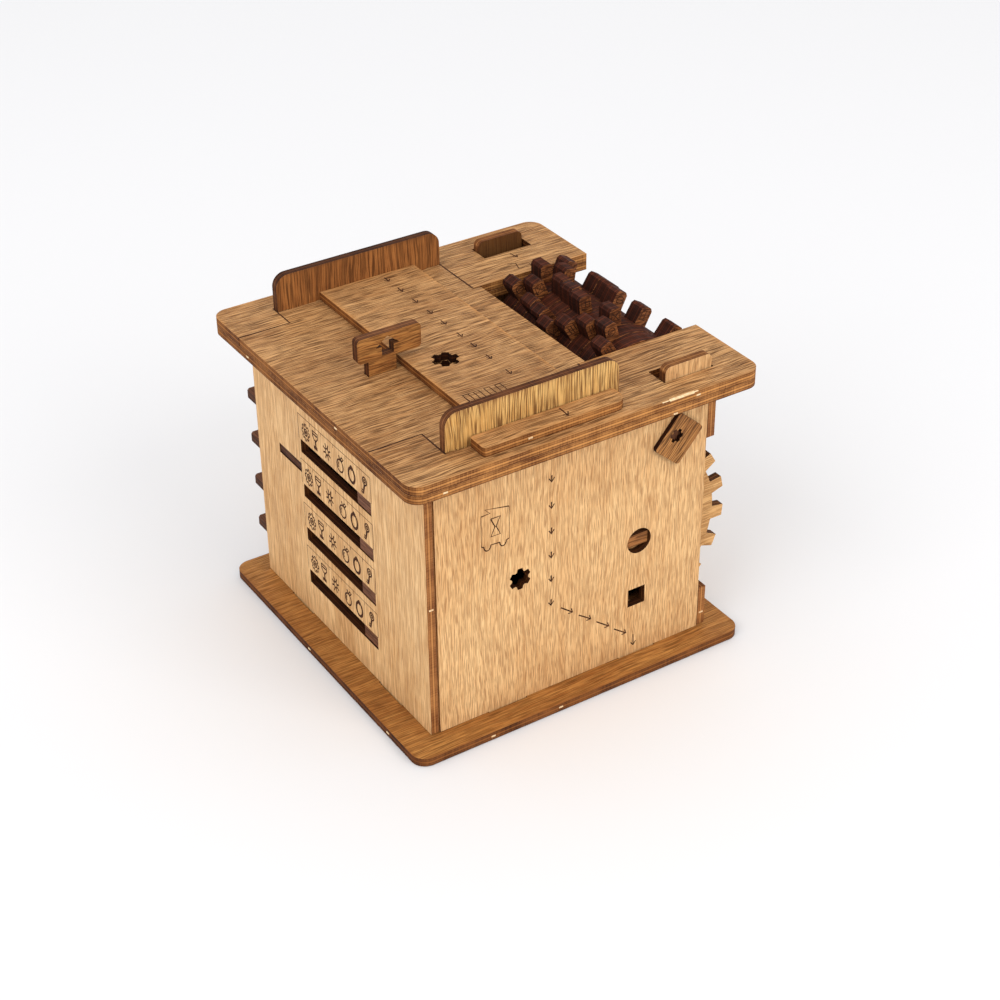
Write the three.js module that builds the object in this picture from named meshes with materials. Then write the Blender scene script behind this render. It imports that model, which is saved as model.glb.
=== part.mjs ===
// Laser-cut plywood puzzle box. Millimetres, +Z up.
// Origin: centre of the base plate's underside. The front panel faces -Y, the slider rows face -X.
import * as THREE from 'three';

// Driving dimensions
const ply = 3;                  // thickness of every sheet
const seam = 0.3;               // gap between neighbouring pieces
const base = { halfX: 63, halfY: 63.5, corner: 5 };
const walls = { left: -53.1, right: 54.1, front: -54.4, back: 55.3, top: 96.9 };
const deck = { left: -62.4, right: 63.8, near: -64, far: 63.6, under: 97, corner: 5 };
const hatch = { left: -44, right: 17.6, near: -52.3, far: 54.8, tongueNear: -39.1, tongueFar: 43.2 };
const drumBay = { left: 20.6, near: -30.2, far: 31 };
const rail = { height: 12.6, corner: 4.5, tongueEnd: 97.3 };
const raised = { left: -28.4, right: 7.5 };
const guideStrip = { left: -36, right: 15, nearWidth: 8, farWidth: 7 };
const drum = { x: 42.3, z: 82.5, body: 20, tip: 26.2, pitch: 6.35, near: -28.6, axle: 8, bore: 5.75 };
const gear = { x: 25.6, z: 47.3, root: 32, tip: 36.5, teeth: 20, phase: -5.1, near: -51 };
const gearBar = { wide: 7.9, high: 4.4 };
const button = { x: 37.6, z: 83.2, long: 14.5, short: 12.2, tilt: 49, thick: 1.5, pin: 3, socket: 2.5 };
const buttonOffset = { x: 1.1, z: -1.5 };      // from the pin to the middle of the plate
const slider = { left: -49.8, right: -39, near: -24, travel: 36 };
const rows = { count: 4, top: 69.9, pitch: 17.1, slot: 5, near: -22, far: 23.5 };
const key = { left: -43.9, right: -21.3, stemLeft: -40.2, stemRight: -30.4, near: -1.3, low: 108, high: 116.5 };
const deckSlot = { left: 32.9, right: 51.9, depth: 8.2 };
const tongueProud = { front: 4.8, back: 3.6 };   // how far each panel's tongue stands above the deck

const upperDeck = deck.under + ply;           // underside of the top layer
const deckTop = upperDeck + ply;
const wallFoot = ply + 0.1;                   // walls stand just clear of the base plate
const sheet = ply - 0.1;                      // a layer that another layer lies on

const colours = {
  light: 0xe8b87a, side: 0xd7a569, deck: 0xbe8c5f, rail: 0xf0be6e, dark: 0x5a3422, cut: 0x8a5a38,
};

const box = new THREE.Group();

function wood(colour) {
  return new THREE.MeshStandardMaterial({ color: colour, roughness: 0.75, metalness: 0 });
}

function addPart(name, geometry, colour) {
  const mesh = new THREE.Mesh(geometry, wood(colour));
  mesh.name = name;
  box.add(mesh);
  return mesh;
}

// Follows corners given as [x, y, radius]; a missing radius is a sharp corner.
function trace(path, corners) {
  const count = corners.length;
  corners.forEach(([x, y, radius = 0], i) => {
    if (radius === 0) {
      if (i === 0) path.moveTo(x, y);
      else path.lineTo(x, y);
      return;
    }
    const point = new THREE.Vector2(x, y);
    const back = new THREE.Vector2(...corners[(i + count - 1) % count]).sub(point).normalize();
    const ahead = new THREE.Vector2(...corners[(i + 1) % count]).sub(point).normalize();
    const half = Math.acos(back.dot(ahead)) / 2;
    const start = point.clone().addScaledVector(back, radius / Math.tan(half));
    const end = point.clone().addScaledVector(ahead, radius / Math.tan(half));
    const centre = point.clone().addScaledVector(back.clone().add(ahead).normalize(), radius / Math.sin(half));
    path.absarc(
      centre.x, centre.y, radius,
      Math.atan2(start.y - centre.y, start.x - centre.x),
      Math.atan2(end.y - centre.y, end.x - centre.x),
      back.cross(ahead) > 0,
    );
  });
  path.closePath();
  return path;
}

function outline(corners, holes = []) {
  const shape = trace(new THREE.Shape(), corners);
  shape.holes.push(...holes);
  return shape;
}

function cutout(corners) {
  return trace(new THREE.Path(), corners);
}

function rectangle(x0, y0, x1, y1, radius = 0) {
  return [[x0, y0, radius], [x1, y0, radius], [x1, y1, radius], [x0, y1, radius]];
}

function roundHole(x, y, radius) {
  return new THREE.Path().absarc(x, y, radius, 0, 2 * Math.PI, true);
}

// Points on a circle, angles in degrees.
function onCircle(x, y, radius, degrees) {
  const angle = THREE.MathUtils.degToRad(degrees);
  return [x + radius * Math.cos(angle), y + radius * Math.sin(angle)];
}

// Six blunt teeth around a hole: the socket that the loose key fits.
function starHole(x, y, radius, turn = 0) {
  const corners = [];
  for (let tooth = 0; tooth < 6; tooth += 1) {
    const middle = turn + tooth * 60;
    corners.push(onCircle(x, y, radius * 0.74, middle - 24));
    corners.push(onCircle(x, y, radius, middle - 13));
    corners.push(onCircle(x, y, radius, middle + 13));
    corners.push(onCircle(x, y, radius * 0.74, middle + 24));
  }
  return cutout(corners);
}

// The three ways a sheet can stand. low is its lowest z, nearest y or lowest x.
function lying(shape, low, thick = ply, arcs = 6) {
  const geometry = new THREE.ExtrudeGeometry(shape, { depth: thick, bevelEnabled: false, curveSegments: arcs });
  return geometry.translate(0, 0, low);
}

function acrossY(shape, near, thick = ply, arcs = 6) {
  const geometry = new THREE.ExtrudeGeometry(shape, { depth: thick, bevelEnabled: false, curveSegments: arcs });
  const turn = new THREE.Matrix4().makeBasis(
    new THREE.Vector3(1, 0, 0), new THREE.Vector3(0, 0, 1), new THREE.Vector3(0, -1, 0),
  );
  return geometry.applyMatrix4(turn).translate(0, near + thick, 0);
}

function acrossX(shape, low, thick = ply, arcs = 6) {
  const geometry = new THREE.ExtrudeGeometry(shape, { depth: thick, bevelEnabled: false, curveSegments: arcs });
  const turn = new THREE.Matrix4().makeBasis(
    new THREE.Vector3(0, 1, 0), new THREE.Vector3(0, 0, 1), new THREE.Vector3(1, 0, 0),
  );
  return geometry.applyMatrix4(turn).translate(low, 0, 0);
}

// A panel standing on the base, with two feet that go down through it.
const foot = { wide: 14, inset: 18, bottom: 0.1 };

function feet(from, to) {
  return [from + foot.inset, to - foot.inset - foot.wide];
}

function panelBottom(from, to) {
  const corners = [[from, wallFoot]];
  feet(from, to).forEach((start) => {
    corners.push([start, wallFoot], [start, foot.bottom]);
    corners.push([start + foot.wide, foot.bottom], [start + foot.wide, wallFoot]);
  });
  corners.push([to, wallFoot]);
  return corners;
}

// Holes in a row each get a slightly wider gap than the one before, so no two edges line up.
function stepGap(index) {
  return seam + index * 0.03;
}

function footHoles(from, to, low, alongX) {
  return feet(from, to).map((start, i) => {
    const a = start - stepGap(i);
    const b = start + foot.wide + stepGap(i);
    const c = low - stepGap(i);
    const d = low + ply + stepGap(i);
    return cutout(alongX ? rectangle(a, c, b, d) : rectangle(c, a, d, b));
  });
}

// Spans of the four walls
const innerSpan = [walls.left + ply + seam, walls.right - ply - seam];
const leftSpan = [-54.1, walls.back];
const rightSpan = [-54.2, walls.back - 0.2];

function basePlate() {
  const holes = [
    ...footHoles(...innerSpan, walls.front, true),
    ...footHoles(...innerSpan, walls.back - ply, true),
    ...footHoles(...leftSpan, walls.left, false),
    ...footHoles(...rightSpan, walls.right - ply, false),
  ];
  const shape = outline(rectangle(-base.halfX, -base.halfY, base.halfX, base.halfY, base.corner), holes);
  addPart('base_plate', lying(shape, 0), colours.deck);
}

// The front and back panels each have a tongue that comes up through a deck slot.
function tongued([from, to], proud) {
  const tongue = { left: deckSlot.left + 0.6, right: deckSlot.right - 0.7, top: deckTop + proud, corner: 2 };
  return [
    ...panelBottom(from, to),
    [to, walls.top],
    [tongue.right, walls.top], [tongue.right, tongue.top, tongue.corner],
    [tongue.left, tongue.top, tongue.corner], [tongue.left, walls.top],
    [from, walls.top],
  ];
}

function frontPanel() {
  const holes = [
    starHole(-19.8, 50.2, 4, 90),
    roundHole(gear.x, gear.z, 4.6),
    cutout(rectangle(21.9, 22.3, 28.5, 29)),
    roundHole(button.x, button.z, button.pin + 0.08),
  ];
  addPart('front_panel', acrossY(outline(tongued(innerSpan, tongueProud.front), holes), walls.front, ply, 16), colours.light);
}

function rowHeight(row) {
  return rows.top - row * rows.pitch;
}

// Open notches down a sheet's left edge, one for each row slider, from the top row down.
function rowNotches(edge) {
  const corners = [];
  for (let row = 0; row < rows.count; row += 1) {
    const high = rowHeight(row) + ply / 2 + seam;
    const low = rowHeight(row) - ply / 2 - seam;
    const deep = slider.right + seam;
    corners.push([edge, high], [deep, high], [deep, low], [edge, low]);
  }
  return corners;
}

function backPanel() {
  const corners = [...tongued(innerSpan, tongueProud.back), ...rowNotches(innerSpan[0])];
  addPart('back_panel', acrossY(outline(corners), walls.back - ply), colours.side);
}

const shelf = { z: 61, near: 24.4, far: 39.2 };
const dividerX = -33.7;

function leftPanel() {
  const holes = [];
  for (let row = 0; row < rows.count; row += 1) {
    const z = rowHeight(row);
    holes.push(cutout(rectangle(rows.near, z - rows.slot / 2, rows.far, z + rows.slot / 2)));
  }
  holes.push(cutout(rectangle(
    shelf.near - seam, shelf.z - ply / 2 - seam, shelf.far + seam, shelf.z + ply / 2 + seam,
  )));
  const corners = [...panelBottom(...leftSpan), [leftSpan[1], walls.top], [leftSpan[0], walls.top]];
  addPart('left_panel', acrossX(outline(corners, holes), walls.left), colours.side);
}

// The right panel is cut away for the gear's teeth at the near edge and for the drum at the top.
function rightPanel() {
  const gearNotch = { low: 18.3, high: 76.8, far: -47.4 };
  const drumNotch = { half: 32.2, low: 57 };
  const [near, far] = rightSpan;
  const corners = [
    ...panelBottom(near, far),
    [far, walls.top],
    [drumNotch.half, walls.top], [drumNotch.half, drumNotch.low, 4],
    [-drumNotch.half, drumNotch.low, 4], [-drumNotch.half, walls.top],
    [near, walls.top], [near, gearNotch.high],
    [gearNotch.far, gearNotch.high], [gearNotch.far, gearNotch.low], [near, gearNotch.low],
  ];
  addPart('right_panel', acrossX(outline(corners), walls.right - ply), colours.side);
}

// Through-slots in the deck for the panels' tongues.
function deckSlotHoles() {
  const { left, right, depth } = deckSlot;
  return [walls.front - seam, walls.back + seam - depth].map((near) => cutout(
    rectangle(left, near, right, near + depth),
  ));
}

// Rail tongues reach down through the hatch into the lower deck and hold the hatch in place.
const railTongues = [{ left: -40, right: -30 }, { left: 3, right: 12 }];
const railNear = { near: hatch.near, far: hatch.near + ply };
const railFar = { near: hatch.far - ply, far: hatch.far };

function tongueHoles() {
  return [railNear, railFar].flatMap((side) => railTongues.map((tongue, i) => cutout(rectangle(
    tongue.left - stepGap(i), side.near - stepGap(i), tongue.right + stepGap(i), side.far + stepGap(i),
  ))));
}

function deckLower() {
  const mouth = cutout(rectangle(-26, -36, 12, 40, 3));
  const keyHole = cutout(rectangle(
    key.stemLeft - seam, key.near - seam, key.stemRight + seam, key.near + ply + seam,
  ));
  const corners = [
    [deck.left, deck.near, deck.corner], [deck.right, deck.near, deck.corner],
    [deck.right, drumBay.near], [drumBay.left - 1.5, drumBay.near],
    [drumBay.left - 1.5, drumBay.far], [deck.right, drumBay.far],
    [deck.right, deck.far, deck.corner], [deck.left, deck.far, deck.corner],
  ];
  const holes = [...deckSlotHoles(), ...tongueHoles(), mouth, keyHole];
  addPart('deck_lower_layer', lying(outline(corners, holes), deck.under, sheet), colours.deck);
}

function deckStrips() {
  const [nearSlot, farSlot] = deckSlotHoles();
  const near = [
    [deck.left, deck.near, deck.corner], [deck.right, deck.near, deck.corner],
    [deck.right, drumBay.near], [hatch.right + seam, drumBay.near],
    [hatch.right + seam, hatch.near - seam], [hatch.left - seam, hatch.near - seam],
    [hatch.left - seam, hatch.tongueNear - seam], [deck.left, hatch.tongueNear - seam],
  ];
  const far = [
    [deck.left, hatch.tongueFar + seam], [hatch.left - seam, hatch.tongueFar + seam],
    [hatch.left - seam, hatch.far + seam], [hatch.right + seam, hatch.far + seam],
    [hatch.right + seam, drumBay.far], [deck.right, drumBay.far],
    [deck.right, deck.far, deck.corner], [deck.left, deck.far, deck.corner],
  ];
  addPart('deck_near_strip', lying(outline(near, [nearSlot]), upperDeck), colours.deck);
  addPart('deck_far_strip', lying(outline(far, [farSlot]), upperDeck), colours.deck);
}

function guideStrips() {
  const low = deckTop + 0.1;
  const { left, right } = guideStrip;
  const inner = hatch.near - seam;
  const outer = inner - guideStrip.nearWidth;
  const nearCorners = [[left, outer, 1.2], [right, outer, 4], [right, inner, 1.2], [left, inner, 1.2]];
  addPart('near_guide_strip', lying(outline(nearCorners), low), colours.deck);
  const far = hatch.far + seam;
  const farCorners = rectangle(left, far, right, far + guideStrip.farWidth, 1.2);
  addPart('far_guide_strip', lying(outline(farCorners), low), colours.deck);
}

// Notches for the rail tongues along one edge of the hatch plate, in order of rising x.
function railNotches(edge, inward) {
  const deep = edge + inward * (ply + 0.1);
  return railTongues.flatMap(({ left, right }) => [
    [left - 0.2, edge], [left - 0.2, deep], [right + 0.2, deep], [right + 0.2, edge],
  ]);
}

function hatchParts() {
  const { left, right, near, far, tongueNear, tongueFar } = hatch;
  const stemHole = cutout(rectangle(
    key.stemLeft - 0.2, key.near - 0.2, key.stemRight + 0.2, key.near + ply + 0.2,
  ));
  const cross = [
    [deck.left, tongueNear], [left, tongueNear], [left, near], ...railNotches(near, 1), [right, near],
    [right, drumBay.near + seam], [drumBay.left, drumBay.near + seam],
    [drumBay.left, drumBay.far - seam], [right, drumBay.far - seam],
    [right, far], ...railNotches(far, -1).reverse(), [left, far], [left, tongueFar], [deck.left, tongueFar],
  ];
  const socket = () => starHole(-17.6, -9.4, 4.6);
  addPart('hatch_plate', lying(outline(cross, [stemHole, socket()]), upperDeck), colours.deck);
  const plate = rectangle(raised.left, railNear.far + 0.1, raised.right, railFar.near - 0.1);
  addPart('raised_plate', lying(outline(plate, [socket()]), deckTop + 0.1, sheet), colours.deck);
  addPart('near_rail', acrossY(railOutline(), railNear.near + 0.1, sheet), colours.rail);
  addPart('far_rail', acrossY(railOutline(), railFar.near, sheet), colours.rail);
}

function railOutline() {
  const low = deckTop + 0.1;
  const top = deckTop + rail.height;
  const corners = [[hatch.left, low]];
  railTongues.forEach(({ left, right }) => {
    corners.push([left, low], [left, rail.tongueEnd], [right, rail.tongueEnd], [right, low]);
  });
  corners.push([hatch.right, low], [hatch.right, top, rail.corner], [hatch.left, top, rail.corner]);
  return outline(corners);
}

// T-shaped key standing in the hatch, with an arrow cut through its head.
function keyPart() {
  const corners = [
    [key.stemLeft, 90], [key.stemRight, 90], [key.stemRight, key.low],
    [key.right, key.low, 1.5], [key.right, key.high, 1.5], [key.left, key.high, 1.5],
    [key.left, key.low, 1.5], [key.stemLeft, key.low],
  ];
  const arrow = { x: -33.2, low: key.low + 1, neck: key.low + 4, tip: key.low + 7.3 };
  const hole = cutout([
    [arrow.x - 2.1, arrow.low], [arrow.x + 2.1, arrow.low], [arrow.x + 2.1, arrow.neck],
    [arrow.x + 4.2, arrow.neck], [arrow.x, arrow.tip], [arrow.x - 4.2, arrow.neck],
    [arrow.x - 2.1, arrow.neck],
  ]);
  addPart('t_key', acrossY(outline(corners, [hole]), key.near), colours.side);
}

// Inner sheets that stand on the base between the outer walls.
function innerWalls() {
  const divider = outline([...rectangle(-47, wallFoot, 51.4, 82)]);
  addPart('centre_divider', acrossX(divider, dividerX), colours.side);
  const compartment = outline([...rectangle(-38.5, wallFoot, 51.4, walls.top)]);
  addPart('compartment_wall', acrossX(compartment, 12.2), colours.side);
  const flat = outline(rectangle(walls.left + 0.3, shelf.near, dividerX - seam, shelf.far));
  addPart('inner_shelf', lying(flat, shelf.z - ply / 2), colours.cut);
}

// A drum bearing plate runs from the base to the deck; the gear's stops part of the way up.
function bearings() {
  const right = innerSpan[1];
  const drumPlate = () => outline(
    rectangle(15.6, wallFoot, right, walls.top), [roundHole(drum.x, drum.z, drum.bore)],
  );
  addPart('drum_bearing_near', acrossY(drumPlate(), -35.2, ply, 16), colours.side);
  addPart('drum_bearing_far', acrossY(drumPlate(), 32.2, ply, 16), colours.side);
  const gearPlate = outline(rectangle(12, wallFoot, right, 60), [roundHole(gear.x, gear.z, 4.6)]);
  addPart('gear_bearing', acrossY(gearPlate, -42, ply, 16), colours.side);
}

// Notched sheets that carry the row sliders behind the left panel.
function combs() {
  [['slider_comb_mid', 14], ['slider_comb_back', 46]].forEach(([name, near]) => {
    const corners = [
      [slider.left, wallFoot], [dividerX - seam, wallFoot], [dividerX - seam, walls.top],
      [slider.left, walls.top], ...rowNotches(slider.left),
    ];
    addPart(name, acrossY(outline(corners), near), colours.side);
  });
}

function rowSliders() {
  const grip = { left: -52.4, right: -36.4, near: walls.back + seam, far: 63.6, chamfer: 1 };
  const { left, right, near } = slider;
  const corners = [
    [left, near], [right, near], [right, grip.near], [grip.right, grip.near],
    [grip.right, grip.far - grip.chamfer], [grip.right - grip.chamfer, grip.far],
    [grip.left + grip.chamfer, grip.far], [grip.left, grip.far - grip.chamfer],
    [grip.left, grip.near], [left, grip.near],
  ];
  for (let row = 0; row < rows.count; row += 1) {
    const z = rowHeight(row);
    addPart(`row_slider_${row + 1}`, lying(outline(corners), z - ply / 2), colours.cut);
    const face = outline(rectangle(rows.near + 0.3, z - 2.2, rows.near + 9, z + 2.2));
    addPart(`row_pointer_${row + 1}`, acrossX(face, walls.left + 0.3, sheet), colours.cut);
  }
}

function gearOutline() {
  const corners = [];
  for (let tooth = 0; tooth < gear.teeth; tooth += 1) {
    const middle = gear.phase + tooth * (360 / gear.teeth);
    corners.push(onCircle(gear.x, gear.z, gear.root, middle - 4.4));
    corners.push(onCircle(gear.x, gear.z, gear.tip, middle - 3.3));
    corners.push(onCircle(gear.x, gear.z, gear.tip, middle + 3.3));
    corners.push(onCircle(gear.x, gear.z, gear.root, middle + 4.4));
    corners.push(onCircle(gear.x, gear.z, gear.root, middle + 9));
  }
  const { wide, high } = gearBar;
  const holes = [cutout(rectangle(
    gear.x - wide / 2 - 0.2, gear.z - high / 2 - 0.2, gear.x + wide / 2 + 0.2, gear.z + high / 2 + 0.2,
  ))];
  for (let spoke = 0; spoke < 6; spoke += 1) {
    holes.push(roundHole(...onCircle(gear.x, gear.z, 20.5, -84 + spoke * 60), 5.6));
  }
  return outline(corners, holes);
}

function gearParts() {
  addPart('gear_wheel', acrossY(gearOutline(), gear.near), colours.light);
  const { wide, high } = gearBar;
  const bar = rectangle(gear.x - wide / 2, gear.z - high / 2, gear.x + wide / 2, gear.z + high / 2);
  addPart('gear_axle', acrossY(outline(bar), walls.front + 0.8, 17.6), colours.cut);
}

// One ring of the drum: a round body with blunt pegs at the given angles.
function ringOutline(angles) {
  const shape = new THREE.Shape();
  const rootHalf = 7;
  const tipHalf = 5.2;
  const sorted = [...angles].sort((a, b) => a - b);
  sorted.forEach((middle, i) => {
    const next = i + 1 < sorted.length ? sorted[i + 1] : sorted[0] + 360;
    const start = onCircle(drum.x, drum.z, drum.body, middle - rootHalf);
    if (i === 0) shape.moveTo(...start);
    shape.lineTo(...onCircle(drum.x, drum.z, drum.tip - 0.9, middle - tipHalf));
    shape.lineTo(...onCircle(drum.x, drum.z, drum.tip, middle - tipHalf + 2));
    shape.lineTo(...onCircle(drum.x, drum.z, drum.tip, middle + tipHalf - 2));
    shape.lineTo(...onCircle(drum.x, drum.z, drum.tip - 0.9, middle + tipHalf));
    shape.lineTo(...onCircle(drum.x, drum.z, drum.body, middle + rootHalf));
    const steps = Math.ceil((next - middle - 2 * rootHalf) / 9);
    for (let step = 1; step < steps + (i + 1 < sorted.length ? 1 : 0); step += 1) {
      const angle = middle + rootHalf + (step / steps) * (next - middle - 2 * rootHalf);
      shape.lineTo(...onCircle(drum.x, drum.z, drum.body, angle));
    }
  });
  shape.closePath();
  const half = drum.axle / 2 + 0.15;
  shape.holes.push(cutout(rectangle(drum.x - half, drum.z - half, drum.x + half, drum.z + half)));
  return shape;
}

// Peg angles of each ring in degrees from +X towards +Z, from the near end of the drum to the far end.
const pegs = [
  [52, 120, 156, 190, 256, 322], [20, 105, 168, 236, 303], [60, 90, 112, 180, 214, 280],
  [122, 155, 222, 290, 355], [62, 97, 131, 198, 265, 330], [58, 95, 126, 160, 228, 296],
  [58, 93, 124, 192, 260, 326], [80, 110, 178, 246, 312], [68, 92, 120, 154, 222, 290],
];

function drumParts() {
  const half = drum.axle / 2;
  const bar = rectangle(drum.x - half, drum.z - half, drum.x + half, drum.z + half);
  addPart('drum_axle', acrossY(outline(bar), -38, 76), colours.cut);
  pegs.forEach((angles, ring) => {
    const near = drum.near + ring * drum.pitch;
    addPart(`drum_ring_${ring + 1}`, acrossY(ringOutline(angles), near, drum.pitch - seam), colours.dark);
  });
  const hole = () => cutout(rectangle(
    drum.x - half - 0.15, drum.z - half - 0.15, drum.x + half + 0.15, drum.z + half + 0.15,
  ));
  const disc = () => {
    const shape = new THREE.Shape().absarc(drum.x, drum.z, 14, 0, 2 * Math.PI, false);
    shape.holes.push(hole());
    return shape;
  };
  const farDisc = drum.near + pegs.length * drum.pitch;
  addPart('drum_end_near', acrossY(disc(), drum.near - seam - ply, ply, 16), colours.dark);
  addPart('drum_end_far', acrossY(disc(), farDisc, ply, 16), colours.dark);
}

// Turn button on the front panel: a tilted plate with a star socket, on a round pin.
function buttonParts() {
  const angle = THREE.MathUtils.degToRad(button.tilt);
  const middle = new THREE.Vector2(button.x + buttonOffset.x, button.z + buttonOffset.z);
  const corners = rectangle(-button.long / 2, -button.short / 2, button.long / 2, button.short / 2, 1.2);
  const tilted = corners.map(([x, y, radius]) => {
    const point = new THREE.Vector2(x, y).rotateAround(new THREE.Vector2(), angle).add(middle);
    return [point.x, point.y, radius];
  });
  const plate = outline(tilted, [starHole(button.x, button.z, button.socket, button.tilt)]);
  addPart('button_plate', acrossY(plate, walls.front - 0.1 - button.thick, button.thick), colours.side);
  const disc = new THREE.Shape().absarc(button.x, button.z, button.pin, 0, 2 * Math.PI, false);
  addPart('button_pin', acrossY(disc, walls.front, ply, 16), colours.light);
}

basePlate();
frontPanel();
backPanel();
leftPanel();
rightPanel();
deckLower();
deckStrips();
guideStrips();
innerWalls();
bearings();
combs();
hatchParts();
keyPart();
drumParts();
gearParts();
buttonParts();
rowSliders();

export default box;
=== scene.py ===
# Plywood puzzle box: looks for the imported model.
# Lengths in the tables are in millimetres, except in edgeWear and studio, which are in metres.
import math

import bpy
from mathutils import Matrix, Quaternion, Vector


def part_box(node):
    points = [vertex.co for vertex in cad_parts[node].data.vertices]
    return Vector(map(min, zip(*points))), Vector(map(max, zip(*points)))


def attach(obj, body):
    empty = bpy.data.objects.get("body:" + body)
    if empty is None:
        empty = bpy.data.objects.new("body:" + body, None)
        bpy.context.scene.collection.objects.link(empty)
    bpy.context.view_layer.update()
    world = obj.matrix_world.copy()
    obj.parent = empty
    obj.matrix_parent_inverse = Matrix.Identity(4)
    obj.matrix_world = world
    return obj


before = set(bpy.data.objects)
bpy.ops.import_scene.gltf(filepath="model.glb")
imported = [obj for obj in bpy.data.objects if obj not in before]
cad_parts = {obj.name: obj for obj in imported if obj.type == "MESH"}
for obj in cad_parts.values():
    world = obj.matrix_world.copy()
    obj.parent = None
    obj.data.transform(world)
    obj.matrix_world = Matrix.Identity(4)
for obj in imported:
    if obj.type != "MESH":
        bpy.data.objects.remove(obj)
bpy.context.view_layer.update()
mm = 0.001
print("frame loaded")


def paint(code):
    # "#rrggbb" as seen on screen, turned into scene colour
    channels = []
    for start in (1, 3, 5):
        value = int(code[start:start + 2], 16) / 255
        channels.append(value / 12.92 if value <= 0.04045 else ((value + 0.055) / 1.055) ** 2.4)
    return (*channels, 1.0)


def addNode(tree, kind, inputs=None, **settings):
    node = tree.nodes.new(kind)
    for name, value in settings.items():
        setattr(node, name, value)
    for key, value in (inputs or {}).items():
        if isinstance(value, bpy.types.NodeSocket):
            tree.links.new(value, node.inputs[key])
        else:
            node.inputs[key].default_value = value
    return node


def calc(tree, operation, *values):
    return addNode(tree, "ShaderNodeMath", dict(enumerate(values)), operation=operation).outputs[0]


def vectorCalc(tree, operation, *values):
    node = addNode(tree, "ShaderNodeVectorMath", dict(enumerate(values)), operation=operation)
    return node.outputs[1 if operation == "DOT_PRODUCT" else 0]


def scaledVector(tree, vector, factor):
    return addNode(tree, "ShaderNodeVectorMath", {0: vector, 3: factor}, operation="SCALE").outputs[0]


def smooth(tree, value, low, high, outLow=0.0, outHigh=1.0):
    node = addNode(tree, "ShaderNodeMapRange", {0: value, 1: low, 2: high, 3: outLow, 4: outHigh},
                   interpolation_type="SMOOTHSTEP")
    return node.outputs[0]


def mixed(tree, amount, first, second, blend="MIX"):
    node = addNode(tree, "ShaderNodeMix", {0: amount, 6: first, 7: second}, data_type="RGBA", blend_type=blend)
    return node.outputs[2]


def shaded(tree, colour, amount):
    # Darkens wood towards red-brown: painted shade inside holes and on a hidden face, and the darker end grain
    shadeAndEndGrainTint = {0: amount, 1: calc(tree, "POWER", amount, 1.25), 2: calc(tree, "POWER", amount, 1.55)}
    return mixed(tree, 1.0, colour, addNode(tree, "ShaderNodeCombineXYZ", shadeAndEndGrainTint).outputs[0], "MULTIPLY")


def noise(tree, vector, detail=2.0, roughness=0.5):
    node = addNode(tree, "ShaderNodeTexNoise",
                   {"Vector": vector, "Scale": 1.0, "Detail": detail, "Roughness": roughness})
    return node.outputs[0]


def stretched(tree, along, across, sizes, shift, through=None, throughSize=1.0):
    # Noise space drawn out along the grain; sizes are along the grain and across it
    parts = {0: calc(tree, "DIVIDE", along, sizes[0]), 1: calc(tree, "DIVIDE", across, sizes[1])}
    if through is not None:
        parts[2] = calc(tree, "DIVIDE", through, throughSize)
    combined = addNode(tree, "ShaderNodeCombineXYZ", parts).outputs[0]
    return vectorCalc(tree, "ADD", combined, shift)


# Plywood: veneer faces with grain and pores, and laser-burnt edges that show the layers
plyInputs = [
    ("Sheet normal", "NodeSocketVector"), ("Along grain", "NodeSocketVector"),
    ("Across grain", "NodeSocketVector"), ("Sheet start", "NodeSocketFloat"),
    ("Seed", "NodeSocketFloat"), ("Box centre", "NodeSocketVector"), ("Box half", "NodeSocketVector"),
    ("Smoke", "NodeSocketFloat"), ("Pale", "NodeSocketColor"), ("Deep", "NodeSocketColor"),
    ("Pore", "NodeSocketColor"), ("Edge dark", "NodeSocketColor"), ("Edge mid", "NodeSocketColor"),
    ("Pore length", "NodeSocketFloat"), ("Pore width", "NodeSocketFloat"), ("Pore strength", "NodeSocketFloat"),
    ("Contrast", "NodeSocketFloat"), ("Inner shade", "NodeSocketFloat"), ("Hole shade", "NodeSocketFloat"),
]
plyOutputs = [("Colour", "NodeSocketColor"), ("Roughness", "NodeSocketFloat"), ("Height", "NodeSocketFloat")]

# Each pattern's size along the grain and across it, and what the patterns do to the wood
plyGrain = {
    "bend": (34.0, 15.0), "bendReach": 4.0, "streak": (45.0, 1.1), "fibre": (8.0, 0.25),
    "blotch": (34.0, 20.0), "blotchDepth": 20.0, "ripple": (3.2, 7.0), "scorch": (8.0, 8.0),
    "scorchDepth": 8.0, "wobble": (5.0, 5.0), "striation": (0.45, 0.45), "striationDepth": 5.0,
    "finePore": (0.49, 0.61), "longPore": (0.52, 0.64), "longPoreStrength": 0.7, "longPoreScale": (1.8, 1.7),
    "streakTone": 1.5, "blotchTone": 1.3, "fibreTone": 1.8, "rippleTone": 0.6,
}
plyEdge = {
    "sheet": 3.0, "layerWobble": 0.05, "smokeReach": 0.8, "holeReach": (0.8, 2.5), "endGrainShade": 0.58,
    "striationTone": 0.7, "scorchTone": 1.2, "roughness": 0.56, "poreRoughness": 0.2, "edgeRoughness": 0.16,
}

# How light the cut edge is through one sheet's thickness: dark glue lines between veneers
edgeLayers = [
    (0.0, 0.10), (0.05, 0.02), (0.12, 0.42), (0.26, 0.55), (0.34, 0.02), (0.41, 0.85),
    (0.57, 0.95), (0.64, 0.03), (0.71, 0.50), (0.84, 0.42), (0.91, 0.20), (1.0, 0.75),
]


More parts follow.
